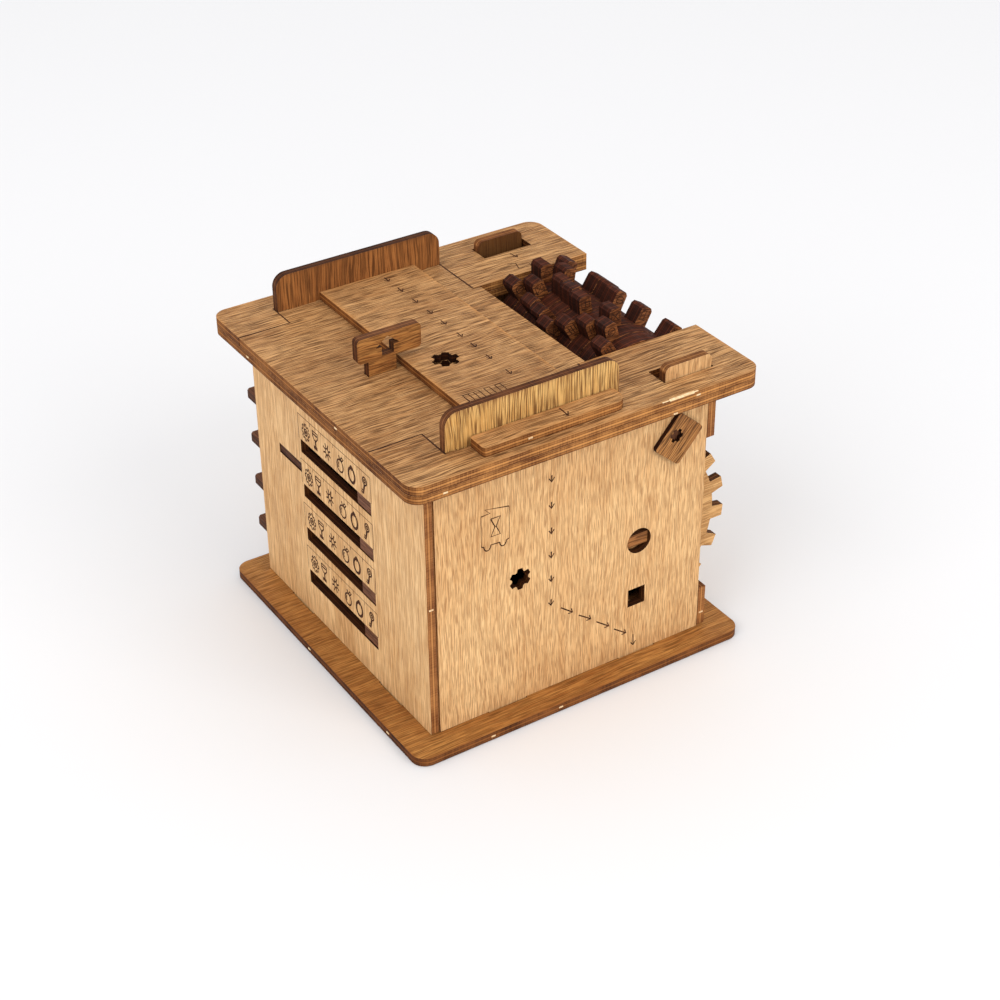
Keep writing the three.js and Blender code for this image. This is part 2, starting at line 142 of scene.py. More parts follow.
def makePlyGroup():
    tree = bpy.data.node_groups.new("plywood", "ShaderNodeTree")
    for name, kind in plyInputs:
        tree.interface.new_socket(name, in_out="INPUT", socket_type=kind)
    for name, kind in plyOutputs:
        tree.interface.new_socket(name, in_out="OUTPUT", socket_type=kind)
    given = addNode(tree, "NodeGroupInput").outputs
    coordinates = addNode(tree, "ShaderNodeTexCoord").outputs
    place = scaledVector(tree, coordinates["Object"], 1000.0)
    along = vectorCalc(tree, "DOT_PRODUCT", place, given["Along grain"])
    across = vectorCalc(tree, "DOT_PRODUCT", place, given["Across grain"])
    through = vectorCalc(tree, "DOT_PRODUCT", place, given["Sheet normal"])
    shift = scaledVector(tree, (13.7, 7.3, 3.1), given["Seed"])

    style = plyGrain
    bend = noise(tree, stretched(tree, along, across, style["bend"], shift), 2.0)
    bending = calc(tree, "MULTIPLY", calc(tree, "SUBTRACT", bend, 0.5), style["bendReach"])
    bent = calc(tree, "ADD", across, bending)
    streak = noise(tree, stretched(tree, along, bent, style["streak"], shift), 3.0, 0.6)
    fibre = noise(tree, stretched(tree, along, bent, style["fibre"], shift), 2.0, 0.6)
    poreSizes = (given["Pore length"], given["Pore width"])
    poreNoise = noise(tree, stretched(tree, along, bent, poreSizes, shift), 1.5, 0.5)
    finePore = smooth(tree, poreNoise, *style["finePore"])
    longSizes = [calc(tree, "MULTIPLY", size, scale) for size, scale in zip(poreSizes, style["longPoreScale"])]
    longShift = vectorCalc(tree, "ADD", shift, (5.0, 9.0, 2.0))
    longNoise = noise(tree, stretched(tree, along, bent, longSizes, longShift), 1.0, 0.5)
    longPore = smooth(tree, longNoise, *style["longPore"], 0.0, style["longPoreStrength"])
    pore = calc(tree, "MAXIMUM", finePore, longPore)
    blotchSpace = stretched(tree, along, across, style["blotch"], shift, through, style["blotchDepth"])
    blotch = noise(tree, blotchSpace, 2.0)
    ripple = noise(tree, stretched(tree, along, across, style["ripple"], shift), 2.0, 0.6)

    tone = 0.0
    for pattern, share in ((streak, "streakTone"), (blotch, "blotchTone"), (fibre, "fibreTone"),
                           (ripple, "rippleTone")):
        tone = calc(tree, "MULTIPLY_ADD", calc(tree, "SUBTRACT", pattern, 0.5), style[share], tone)
    tone = calc(tree, "MULTIPLY_ADD", tone, given["Contrast"], 0.5)
    tone = addNode(tree, "ShaderNodeClamp", {0: tone}).outputs[0]
    face = mixed(tree, tone, given["Pale"], given["Deep"])
    poreAmount = calc(tree, "MULTIPLY", pore, given["Pore strength"])
    face = mixed(tree, poreAmount, face, given["Pore"])

    scorchSpace = stretched(tree, along, across, style["scorch"], shift, through, style["scorchDepth"])
    scorch = noise(tree, scorchSpace, 2.0)
    borders = []
    for grain, offset in (("Along grain", along), ("Across grain", across)):
        centre = vectorCalc(tree, "DOT_PRODUCT", given["Box centre"], given[grain])
        half = vectorCalc(tree, "DOT_PRODUCT", given["Box half"], vectorCalc(tree, "ABSOLUTE", given[grain]))
        distance = calc(tree, "ABSOLUTE", calc(tree, "SUBTRACT", offset, centre))
        borders.append(calc(tree, "SUBTRACT", half, distance))
    border = calc(tree, "MINIMUM", *borders)
    reach = calc(tree, "DIVIDE", calc(tree, "MAXIMUM", border, 0.0), -plyEdge["smokeReach"])
    smoke = calc(tree, "EXPONENT", reach)
    smoke = calc(tree, "MULTIPLY", smoke, smooth(tree, scorch, 0.35, 0.65, 0.25, 0.9))
    smoke = calc(tree, "MULTIPLY", smoke, given["Smoke"])
    face = mixed(tree, smoke, face, given["Edge mid"])

    wobble = noise(tree, stretched(tree, along, across, style["wobble"], shift), 1.0)
    wave = calc(tree, "MULTIPLY", calc(tree, "SUBTRACT", wobble, 0.5), plyEdge["layerWobble"])
    layer = calc(tree, "DIVIDE", calc(tree, "SUBTRACT", through, given["Sheet start"]), plyEdge["sheet"])
    layer = calc(tree, "ADD", layer, wave)
    ramp = addNode(tree, "ShaderNodeValToRGB", {0: calc(tree, "FRACT", layer)})
    stops = ramp.color_ramp.elements
    stops[0].position, stops[1].position = edgeLayers[0][0], edgeLayers[-1][0]
    for position, _ in edgeLayers[1:-1]:
        stops.new(position)
    for stop, (position, light) in zip(stops, edgeLayers):
        stop.color = (light, light, light, 1.0)
    striationSpace = stretched(tree, along, across, style["striation"], shift, through, style["striationDepth"])
    striation = noise(tree, striationSpace, 1.0)
    edgeTone = ramp.outputs[0]
    for pattern, share in ((striation, "striationTone"), (scorch, "scorchTone")):
        edgeTone = calc(tree, "MULTIPLY_ADD", calc(tree, "SUBTRACT", pattern, 0.5), plyEdge[share], edgeTone)
    edgeTone = addNode(tree, "ShaderNodeClamp", {0: edgeTone}).outputs[0]
    edge = mixed(tree, edgeTone, given["Edge dark"], given["Edge mid"])

    # Painted shade: cut edges inside a hole are darkened, and a hidden face can be darker than the shown one;
    # edges across the grain are darker as end grain
    edgeShade = smooth(tree, border, *plyEdge["holeReach"], 1.0, given["Hole shade"])
    endGrain = vectorCalc(tree, "DOT_PRODUCT", coordinates["Normal"], given["Along grain"])
    endShade = smooth(tree, calc(tree, "ABSOLUTE", endGrain), 0.3, 0.9, 1.0, plyEdge["endGrainShade"])
    edgeShade = calc(tree, "MULTIPLY", edgeShade, endShade)
    edge = shaded(tree, edge, edgeShade)
    turned = vectorCalc(tree, "DOT_PRODUCT", coordinates["Normal"], given["Sheet normal"])
    face = shaded(tree, face, smooth(tree, turned, -0.5, 0.5, given["Inner shade"], 1.0))
    facing = calc(tree, "ABSOLUTE", turned)
    onEdge = smooth(tree, facing, 0.45, 0.75, 1.0, 0.0)
    colour = mixed(tree, onEdge, face, edge)
    roughness = calc(tree, "MULTIPLY_ADD", poreAmount, plyEdge["poreRoughness"], plyEdge["roughness"])
    roughness = calc(tree, "MULTIPLY_ADD", onEdge, plyEdge["edgeRoughness"], roughness)
    grainHeight = calc(tree, "MULTIPLY_ADD", pore, -0.8, calc(tree, "MULTIPLY", fibre, 0.5))
    edgeHeight = calc(tree, "MULTIPLY_ADD", ramp.outputs[0], 0.4, calc(tree, "MULTIPLY", striation, 0.6))
    heights = addNode(tree, "ShaderNodeMix", {0: onEdge, 2: grainHeight, 3: edgeHeight}, data_type="FLOAT")
    results = {"Colour": colour, "Roughness": roughness, "Height": heights.outputs[0]}
    addNode(tree, "NodeGroupOutput", results)
    return tree


plyGroup = makePlyGroup()

plyLooks = {
    "front": dict(pale="#f6cd94", deep="#d8a36a", pore="#84522a", poreLength=5.5, poreWidth=0.24,
                  poreStrength=0.58, contrast=0.7),
    "wall": dict(pale="#f2ca94", deep="#cc9960", pore="#85532a", poreLength=9.0, poreWidth=0.27,
                 poreStrength=0.5, contrast=0.7),
    "deck": dict(pale="#d8a66e", deep="#a06c3c", pore="#4a2a12", poreLength=9.0, poreWidth=0.27,
                 poreStrength=0.85, contrast=0.85),
    "base": dict(pale="#c98f4c", deep="#935a28", pore="#52300f", poreLength=10.0, poreWidth=0.36,
                 poreStrength=0.6, contrast=0.8),
    "rail": dict(pale="#f0c47c", deep="#cc954e", pore="#5e3516", poreLength=12.0, poreWidth=0.36,
                 poreStrength=0.85, contrast=0.8),
    # Painted shade: the rail's colours darkened as if in shade, used for the far rail and the gear axle
    "railInShade": dict(pale="#b67840", deep="#855028", pore="#46260f", poreLength=12.0, poreWidth=0.36,
                    poreStrength=0.75, contrast=0.8),
    "key": dict(pale="#cc9250", deep="#986030", pore="#4c2a12", poreLength=6.0, poreWidth=0.36,
                poreStrength=0.7, contrast=0.85),
    "button": dict(pale="#c4894c", deep="#8c582c", pore="#3c200c", poreLength=8.0, poreWidth=0.42,
                   poreStrength=0.8, contrast=1.0),
    "gear": dict(pale="#eabb7e", deep="#c69056", pore="#7a4a20", poreLength=5.0, poreWidth=0.34,
                 poreStrength=0.55, contrast=0.7),
    "slider": dict(pale="#845438", deep="#5c3622", pore="#2e190f", poreLength=6.0, poreWidth=0.4,
                   poreStrength=0.55, contrast=0.75),
    "drum": dict(pale="#a8683a", deep="#643318", pore="#2c120a", poreLength=3.0, poreWidth=0.4,
                 poreStrength=0.75, contrast=1.1),
    # Painted shade: the inner look gives the inside pieces dark wood, in its face and edge colours, to stand for
    # the shade inside the box
    "inner": dict(pale="#7a5230", deep="#583819", pore="#35200e", poreLength=7.0, poreWidth=0.45,
                  poreStrength=0.5, contrast=0.6),
}
edgeColours = {
    "front": ("#64361d", "#c08850"), "wall": ("#663619", "#bc8048"), "deck": ("#55290f", "#c88a4c"),
    # Painted shade: the far rail's edge colours are the rail's edges darkened as if in shade
    "base": ("#3a1a0a", "#8e5628"), "rail": ("#40200f", "#8a5834"), "railInShade": ("#33190c", "#6e4426"),
    "key": ("#3c1e0f", "#80502c"), "button": ("#33190c", "#6c4024"), "gear": ("#33190b", "#744824"),
    # Painted shade: the slider edge colours are burnt edges darkened further for the cut edges that sit in the
    # dark slots and inside the box
    "slider": ("#2a140c", "#5c3824"), "drum": ("#210c05", "#5a2813"), "inner": ("#2c170b", "#5e3a1e"),
}

axes = {"x": Vector((1, 0, 0)), "y": Vector((0, 1, 0)), "z": Vector((0, 0, 1))}

# node: (sheet's normal, grain direction, look, how smoky the face is beside its outer edges)
sheets = {
    "base_plate": ("z", "x", "base", 0.9), "front_panel": ("y", "z", "front", 0.35),
    "left_panel": ("x", "z", "wall", 0.35), "back_panel": ("y", "z", "wall", 0.35),
    "right_panel": ("x", "z", "wall", 0.35), "deck_lower_layer": ("z", "x", "deck", 0.8),
    "deck_near_strip": ("z", "x", "deck", 0.7), "deck_far_strip": ("z", "x", "deck", 0.7),
    "near_guide_strip": ("z", "x", "deck", 0.8), "far_guide_strip": ("z", "x", "deck", 0.8),
    # The inner pieces get the dark inner look: painted shade for the inside of the box
    "centre_divider": ("x", "z", "inner", 0.3), "compartment_wall": ("x", "z", "inner", 0.3),
    "inner_shelf": ("z", "y", "slider", 0.6), "drum_bearing_near": ("y", "z", "inner", 0.3),
    "drum_bearing_far": ("y", "z", "inner", 0.3), "gear_bearing": ("y", "z", "inner", 0.3),
    "slider_comb_mid": ("y", "z", "inner", 0.3), "slider_comb_back": ("y", "z", "inner", 0.3),
    "hatch_plate": ("z", "x", "deck", 0.3), "raised_plate": ("z", "x", "deck", 0.9),
    "near_rail": ("y", "z", "rail", 0.7), "far_rail": ("y", "z", "railInShade", 0.9),
    "t_key": ("y", "x", "key", 0.8), "gear_wheel": ("y", "x", "gear", 0.0),
    "gear_axle": ("y", "x", "railInShade", 0.0), "button_pin": ("y", "z", "slider", 0.0),
    "drum_axle": ("z", "y", "slider", 0.0), "drum_end_near": ("y", "x", "drum", 0.0),
    "drum_end_far": ("y", "x", "drum", 0.0),
}
sheets.update({f"drum_ring_{ring}": ("y", "x", "drum", 0.0) for ring in range(1, 10)})
sheets.update({f"row_slider_{row}": ("z", "y", "slider", 0.5) for row in range(1, 5)})
sheets.update({f"row_pointer_{row}": ("x", "y", "slider", 0.5) for row in range(1, 5)})
buttonGrain = {"tilt": 49.0, "seed": 61.0}

# Painted shade: how light the edges inside a sheet's holes, and its hidden face, stay; 1 leaves them as they are
holeShades = {
    "front_panel": 0.25, "left_panel": 0.25, "back_panel": 0.5, "raised_plate": 0.1, "hatch_plate": 0.15,
    "deck_near_strip": 0.4, "deck_far_strip": 0.4, "button_plate": 0.3,
}
# Painted shade on the back panel's hidden face, where its far tongue stands in shade
innerShades = {"back_panel": 0.18}


def plyMaterial(node, normal, grain, look, smoke, seed):
    style = plyLooks[look]
    material = bpy.data.materials.new("ply_" + node)
    material.use_nodes = True
    tree = material.node_tree
    tree.nodes.clear()
    low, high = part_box(node)
    centre = (low + high) / 2 / mm
    half = (high - low) / 2 / mm
    start = normal.dot(low) / mm
    edgeDark, edgeMid = edgeColours[look]
    group = addNode(tree, "ShaderNodeGroup", node_tree=plyGroup)
    values = {
        "Sheet normal": normal, "Along grain": grain, "Across grain": normal.cross(grain), "Sheet start": start,
        "Seed": seed, "Box centre": centre, "Box half": half, "Smoke": smoke, "Pale": paint(style["pale"]),
        "Deep": paint(style["deep"]), "Pore": paint(style["pore"]), "Edge dark": paint(edgeDark),
        "Edge mid": paint(edgeMid), "Pore length": style["poreLength"], "Pore width": style["poreWidth"],
        "Pore strength": style["poreStrength"], "Contrast": style["contrast"],
        "Inner shade": innerShades.get(node, 1.0), "Hole shade": holeShades.get(node, 1.0),
    }
    for key, value in values.items():
        group.inputs[key].default_value = value
    bump = addNode(tree, "ShaderNodeBump",
                   {"Strength": 0.6, "Distance": 0.00012, "Height": group.outputs["Height"]})
    shader = addNode(tree, "ShaderNodeBsdfPrincipled", {
        "Base Color": group.outputs["Colour"], "Roughness": group.outputs["Roughness"],
        "Normal": bump.outputs[0], "Specular IOR Level": 0.16,
    })
    addNode(tree, "ShaderNodeOutputMaterial", {"Surface": shader.outputs[0]})
    return material


edgeWear = {"mergeDistance": 1e-6, "width": 0.00012, "sharpAngle": 50}


def softenEdges(piece):
    # Laser-cut edges are crisp, but never razor sharp
    weld = piece.modifiers.new("weld", "WELD")
    weld.merge_threshold = edgeWear["mergeDistance"]
    bevel = piece.modifiers.new("edge", "BEVEL")
    bevel.width = edgeWear["width"]
    bevel.segments = 1
    bevel.limit_method = "ANGLE"
    bevel.angle_limit = math.radians(edgeWear["sharpAngle"])


def coverNode(node, material):
    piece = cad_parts[node]
    if piece.material_slots:
        for slot in piece.material_slots:
            slot.material = material
    else:
        piece.data.materials.append(material)
    softenEdges(piece)


for seed, (node, (normal, grain, look, smoke)) in enumerate(sheets.items()):
    coverNode(node, plyMaterial(node, axes[normal], axes[grain], look, smoke, seed + 1.0))
tilt = math.radians(buttonGrain["tilt"])
tilted = Vector((math.cos(tilt), 0, math.sin(tilt)))
coverNode("button_plate", plyMaterial("button_plate", axes["y"], tilted, "button", 0.0, buttonGrain["seed"]))
print("plywood finished")


def plainMaterial(name, code, speckCode, roughness):
    material = bpy.data.materials.new(name)
    material.use_nodes = True
    tree = material.node_tree
    tree.nodes.clear()
    place = scaledVector(tree, addNode(tree, "ShaderNodeTexCoord").outputs["Object"], 1000.0)
    speck = noise(tree, place, 3.0, 0.7)
    colour = mixed(tree, smooth(tree, speck, 0.35, 0.7), paint(code), paint(speckCode))
    bump = addNode(tree, "ShaderNodeBump", {"Strength": 0.5, "Distance": 0.00008, "Height": speck})
    shader = addNode(tree, "ShaderNodeBsdfPrincipled", {
        "Base Color": colour, "Roughness": roughness, "Normal": bump.outputs[0], "Specular IOR Level": 0.2,
    })
    addNode(tree, "ShaderNodeOutputMaterial", {"Surface": shader.outputs[0]})
    return material


charred = plainMaterial("charredLine", "#2c170c", "#5a341c", 0.9)
bareWood = plainMaterial("bareWood", "#f3d7ab", "#e2b884", 0.7)


def geometryTree(name, inputs):
    tree = bpy.data.node_groups.new(name, "GeometryNodeTree")
    tree.interface.new_socket("Geometry", in_out="INPUT", socket_type="NodeSocketGeometry")
    for label, kind in inputs:
        tree.interface.new_socket(label, in_out="INPUT", socket_type=kind)
    tree.interface.new_socket("Geometry", in_out="OUTPUT", socket_type="NodeSocketGeometry")
    return tree, addNode(tree, "NodeGroupInput").outputs


def finishTree(tree, geometry, given):
    real = addNode(tree, "GeometryNodeRealizeInstances", {0: geometry}).outputs[0]
    painted = addNode(tree, "GeometryNodeSetMaterial", {"Geometry": real, "Material": given["Finish"]}).outputs[0]
    addNode(tree, "NodeGroupOutput", {0: painted})
    return tree


def makeLineTree():
    # Turns edges lying on a surface into flat burnt lines that stand just proud of it
    tree, given = geometryTree("engravedLine", [
        ("Line width", "NodeSocketFloat"), ("Line height", "NodeSocketFloat"),
        ("Surface normal", "NodeSocketVector"), ("Surface point", "NodeSocketVector"),
        ("Finish", "NodeSocketMaterial"),
    ])
    radius = calc(tree, "MULTIPLY", given["Line width"], 0.5)
    curve = addNode(tree, "GeometryNodeMeshToCurve", {0: given["Geometry"]}).outputs[0]
    profile = addNode(tree, "GeometryNodeCurvePrimitiveCircle", {"Resolution": 6, "Radius": radius}).outputs[0]
    tube = addNode(tree, "GeometryNodeCurveToMesh",
                   {"Curve": curve, "Profile Curve": profile, "Fill Caps": True}).outputs[0]
    place = addNode(tree, "GeometryNodeInputPosition").outputs[0]
    offset = vectorCalc(tree, "SUBTRACT", place, given["Surface point"])
    rise = vectorCalc(tree, "DOT_PRODUCT", offset, given["Surface normal"])
    squeeze = calc(tree, "SUBTRACT", calc(tree, "DIVIDE", given["Line height"], radius), 1.0)
    drop = scaledVector(tree, given["Surface normal"], calc(tree, "MULTIPLY", rise, squeeze))
    flat = addNode(tree, "GeometryNodeSetPosition", {"Geometry": tube, "Offset": drop}).outputs[0]
    return finishTree(tree, flat, given)


def makeNibTree():
    # Small pale stubs where each sheet was broken out of its frame
    tree, given = geometryTree("breakNibs", [("Nib size", "NodeSocketVector"), ("Finish", "NodeSocketMaterial")])
    stub = addNode(tree, "GeometryNodeMeshCube", {"Size": given["Nib size"]}).outputs[0]
    turn = addNode(tree, "GeometryNodeInputNamedAttribute", {"Name": "turn"}, data_type="FLOAT_VECTOR").outputs[0]
    placed = addNode(tree, "GeometryNodeInstanceOnPoints",
                     {"Points": given["Geometry"], "Instance": stub, "Rotation": turn}).outputs[0]
    return finishTree(tree, placed, given)


lineTree = makeLineTree()
nibTree = makeNibTree()


def treeToPiece(name, body, mesh, tree, values):
    # Runs a geometry tree on a mesh and keeps the plain result
    source = bpy.data.objects.new(name + "_source", mesh)
    bpy.context.scene.collection.objects.link(source)
    modifier = source.modifiers.new("tree", "NODES")
    modifier.node_group = tree
    for item in tree.interface.items_tree:
        if item.in_out == "INPUT" and item.name in values:
            modifier[item.identifier] = values[item.name]
    source.update_tag()
    bpy.context.view_layer.update()
    evaluated = source.evaluated_get(bpy.context.evaluated_depsgraph_get())
    made = bpy.data.meshes.new_from_object(evaluated)
    made.name = name
    bpy.data.objects.remove(source)
    piece = bpy.data.objects.new(name, made)
    bpy.context.scene.collection.objects.link(piece)
    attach(piece, body)


def engrave(name, body, paths, place, normal, width, material=charred, height=0.03):
    # paths are lists of (u, v) in millimetres on a surface; place turns (u, v) into a point
    points, edges = [], []
    for path in paths:
        first = len(points)
        points.extend(place(u, v) for u, v in path)
        edges.extend((first + i, first + i + 1) for i in range(len(path) - 1))
    mesh = bpy.data.meshes.new(name + "_lines")
    mesh.from_pydata(points, edges, [])
    values = {
        "Line width": width * mm, "Line height": height * mm, "Surface normal": list(normal),
        "Surface point": list(points[0]), "Finish": material,
    }
    treeToPiece(name, body, mesh, lineTree, values)


def arcPath(u, v, radiusU, radiusV=None, start=0, end=360, steps=20):
    radiusV = radiusV or radiusU
    angles = [math.radians(start + (end - start) * i / steps) for i in range(steps + 1)]
    return [(u + radiusU * math.cos(angle), v + radiusV * math.sin(angle)) for angle in angles]


def arrowPaths(tail, tip, barb=1.75, spread=34):
    heading = math.atan2(tip[1] - tail[1], tip[0] - tail[0])
    arms = [(tip[0] - barb * math.cos(heading + side), tip[1] - barb * math.sin(heading + side))
            for side in (math.radians(spread), -math.radians(spread))]
    return [[tail, tip], [arms[0], tip, arms[1]]]


def shifted(paths, u, v, flip=1.0):
    return [[(u + flip * a, v + b) for a, b in path] for path in paths]


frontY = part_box("front_panel")[0].y
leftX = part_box("left_panel")[0].x
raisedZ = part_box("raised_plate")[1].z
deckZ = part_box("deck_near_strip")[1].z
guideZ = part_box("near_guide_strip")[1].z


def onNearFace(y):
    return lambda u, v: Vector((u * mm, y, v * mm))


def onLeft(u, v):
    return Vector((leftX, u * mm, v * mm))


def onLevel(height):
    return lambda u, v: Vector((u * mm, v * mm, height))


frontMarks = {
    "columnX": -8.2, "columnTips": (81.6, 72.0, 62.6, 53.6, 44.6, 35.4), "columnShaft": 2.4,
    "slanted": (((-4.5, 33.0), (0.1, 29.4)), ((2.5, 27.2), (7.3, 23.8)),
                ((9.5, 21.7), (14.5, 17.9)), ((16.6, 15.8), (21.5, 12.2))),
    "last": ((24.4, 10.4), (24.6, 6.0)), "lineWidth": 0.52, "signPlace": (-28.5, 73.0), "signWidth": 0.48,
    "hourglass": ((-1.7, 3.2), (1.7, 3.2), (0.2, 0.0), (1.7, -3.2), (-1.7, -3.2), (-0.2, 0.0), (-1.7, 3.2)),
    "scroll": ((-23.7, 78.6), (-32.2, 80.2), (-30.4, 78.4), (-33.6, 78.2)),
    "waves": ((-31.5, 66.9, 1.25, 1.7), (-25.9, 66.7, 1.2, 1.7)),
    "waveEnds": ((-33.6, 67.3), (-27.1, 66.7), (-23.6, 67.0)),
    "frameSides": (((-33.6, 78.2), (-33.6, 67.3)), ((-23.6, 78.6), (-23.6, 67.0))), "frameWidth": 0.2,
}


def engraveFront():
    style = frontMarks
    place, normal = onNearFace(frontY), (0, -1, 0)
    paths = []
    for tip in style["columnTips"]:
        paths += arrowPaths((style["columnX"], tip + style["columnShaft"]), (style["columnX"], tip))
    for tail, tip in style["slanted"] + (style["last"],):
        paths += arrowPaths(tail, tip)
    engrave("frontArrows", "case", paths, place, normal, style["lineWidth"])
    # A plain hourglass in a scroll frame
    foot = [style["waveEnds"][0]]
    for wave, end in zip(style["waves"], style["waveEnds"][1:]):
        foot += arcPath(*wave, 180, 360, 10) + [end]
    sign = shifted([style["hourglass"]], *style["signPlace"]) + [style["scroll"], foot]
    engrave("frontSign", "case", sign, place, normal, style["signWidth"])
    engrave("frontSignFrame", "case", style["frameSides"], place, normal, style["frameWidth"])


# The six signs above each slot are drawn about their own centres
def wheelSign():
    rim = []
    for tooth in range(8):
        for radius, turn in ((2.1, -16), (2.8, -9), (2.8, 9), (2.1, 16)):
            angle = math.radians(tooth * 45 + turn)
            rim.append((radius * 0.9 * math.cos(angle), radius * 1.1 * math.sin(angle)))
    return [rim + rim[:1], arcPath(0, 0, 1.0, 1.2, steps=12), arcPath(0, 0, 0.3, 0.4, steps=6)]


def cupSign():
    bowl = [(-1.7, 3.2), (-1.6, 1.4), (-0.6, 0.2), (0.6, 0.2), (1.6, 1.4), (1.7, 3.2), (-1.7, 3.2)]
    foot = [[(-1.2, -2.9 + lift), (1.2, -2.9 + lift)] for lift in (0, 0.35, 0.7)]
    return [bowl, [(-1.5, 2.2), (1.5, 2.2)], [(0, 0.2), (0, -2.9)], [(0.25, 0.2), (0.25, -2.9)]] + foot


def sunSign():
    rays = []
    for ray in range(8):
        angle = math.radians(ray * 45 + 22)
        rays.append([(inner * math.cos(angle), inner * 1.2 * math.sin(angle)) for inner in (1.1, 2.5)])
    return [arcPath(0, 0, 1.0, 1.15, steps=12)] + rays


def fruitSign():
    body = arcPath(0, -0.7, 2.0, 2.2, steps=18)
    leaf = [(0.2, 1.5), (1.2, 2.9), (2.3, 2.6), (1.5, 1.7), (0.2, 1.5)]
    return [body, leaf, [(0, 1.5), (-0.5, 3.0)], arcPath(0, -0.7, 1.2, 1.4, 130, 220, 6)]


def ringSign():
    return [arcPath(0, -0.3, 2.2, 2.8, steps=20), arcPath(0, -0.3, 1.8, 2.35, steps=20),
            [(-0.8, 2.6), (0, 1.6), (0.8, 2.6), (0, 3.2), (-0.8, 2.6)], [(-0.8, 2.6), (0.8, 2.6)]]


def keySign():
    return [arcPath(0.4, 1.9, 1.3, 1.4, steps=14), arcPath(0.4, 1.9, 0.5, 0.6, steps=8),
            [(0.1, 0.6), (-0.9, -3.0)], [(0.4, 0.5), (-0.6, -3.0)], [(-0.9, -3.0), (-1.9, -2.6)],
            [(-0.7, -2.1), (-1.6, -1.7)]]


leftMarks = {
    "rowCentres": (69.9, 52.8, 35.7, 18.6), "signLift": 6.9, "lineWidth": 0.68,
    "signs": (
        (19.3, wheelSign), (12.9, cupSign), (5.3, sunSign),
        (-3.2, fruitSign), (-10.6, ringSign), (-18.4, keySign),
    ),
    "frameNear": -22.4, "frameFar": 24.3, "frameLift": 11.9, "frameFoot": 2.6, "tick": 1.3, "frameWidth": 0.26,
}


def engraveLeft():
    style = leftMarks
    signs, lines = [], []
    for centre in style["rowCentres"]:
        for place, drawing in style["signs"]:
            signs += shifted(drawing(), place, centre + style["signLift"], -1.0)
        top = centre + style["frameLift"]
        lines.append([(style["frameNear"], top), (style["frameFar"], top)])
        for first, second in zip(style["signs"], style["signs"][1:]):
            middle = (first[0] + second[0]) / 2
            lines.append([(middle, top), (middle, top - style["tick"])])
        for side in (style["frameNear"], style["frameFar"]):
            lines.append([(side, top), (side, centre + style["frameFoot"])])
    engrave("slotSigns", "case", signs, onLeft, (-1, 0, 0), style["lineWidth"])
    engrave("slotFrames", "case", lines, onLeft, (-1, 0, 0), style["frameWidth"])


topMarks = {
    "arrowX": -5.7, "arrowTips": (45.6, 36.8, 27.4, 18.2, 9.6, -0.1, -8.3, -17.2, -28.4), "shaft": 3.2,
    "lineWidth": 0.5, "borderStart": -25.1, "borderStep": 1.9, "borderSteps": 8, "borderLow": -36.2,
    "borderHigh": -31.4,
    "guideArrow": (((-5.1, -53.6), (-5.3, -58.6)), ((-6.3, -57.4), (-5.3, -58.6), (-4.1, -56.6))),
    "armArrow": ((42.0, 45.6), (42.8, 42.0)),
    "armCorner": ((36.9, 39.4), (39.6, 38.3), (38.4, 34.6), (43.2, 34.0), (43.4, 35.6)),
}


def engraveTop():
    style = topMarks
    x, up, width = style["arrowX"], (0, 0, 1), style["lineWidth"]
    paths = []
    for tip in style["arrowTips"]:
        paths += arrowPaths((x, tip + style["shaft"]), (x, tip))
    engrave("hatchArrows", "hatch", paths, onLevel(raisedZ), up, width)
    # An even stepped border beside the near rail
    steps = [(style["borderStart"], style["borderLow"])]
    for step in range(1, style["borderSteps"] + 1):
        across = style["borderStart"] + step * style["borderStep"]
        level = style["borderHigh"] if step % 2 else style["borderLow"]
        steps += [(across - style["borderStep"], level), (across, level)]
    engrave("hatchBorder", "hatch", [steps], onLevel(raisedZ), up, width)
    engrave("guideArrow", "case", style["guideArrow"], onLevel(guideZ), up, width)
    arm = arrowPaths(*style["armArrow"]) + [style["armCorner"]]
    engrave("armMarks", "case", arm, onLevel(deckZ), up, width)


# Burnt seams where the hatch meets the deck, seen from above
seams = {
    "gap": 0.15, "armNear": -39.1, "armFar": 43.2, "bodyLeft": -44.0, "bodyRight": 17.6, "deckLeft": -62.2,
    "bodyNear": -52.3, "bodyFar": 54.8, "bayFar": 31.2, "bayNear": -30.4, "lineWidth": 0.7, "lineHeight": 0.02,
}


def burnSeams():
    style = seams
    gap = style["gap"]
    left, right = style["bodyLeft"] - gap, style["bodyRight"] + gap
    near, far = style["armNear"] - gap, style["armFar"] + gap
    paths = [
        [(style["deckLeft"], near), (left, near), (left, style["bodyNear"] - gap)],
        [(style["deckLeft"], far), (left, far), (left, style["bodyFar"] + gap), (right, style["bodyFar"] + gap),
         (right, style["bayFar"])],
        [(right, style["bodyNear"] - gap), (right, style["bayNear"])],
    ]
    engrave("burntSeams", "case", paths, onLevel(deckZ), (0, 0, 1), style["lineWidth"],
            height=style["lineHeight"])


# Signs on the near faces of the drum's pegs
drumMarks = {
    "centre": (42.3, 82.5), "radius": 23.3, "lineWidth": 0.34,
    "pegs": (
        (52, 120, 156, 190, 256, 322), (20, 105, 168, 236, 303), (60, 90, 112, 180, 214, 280),
        (122, 155, 222, 290, 355), (62, 97, 131, 198, 265, 330), (58, 95, 126, 160, 228, 296),
        (58, 93, 124, 192, 260, 326), (80, 110, 178, 246, 312), (68, 92, 120, 154, 222, 290),
    ),
}


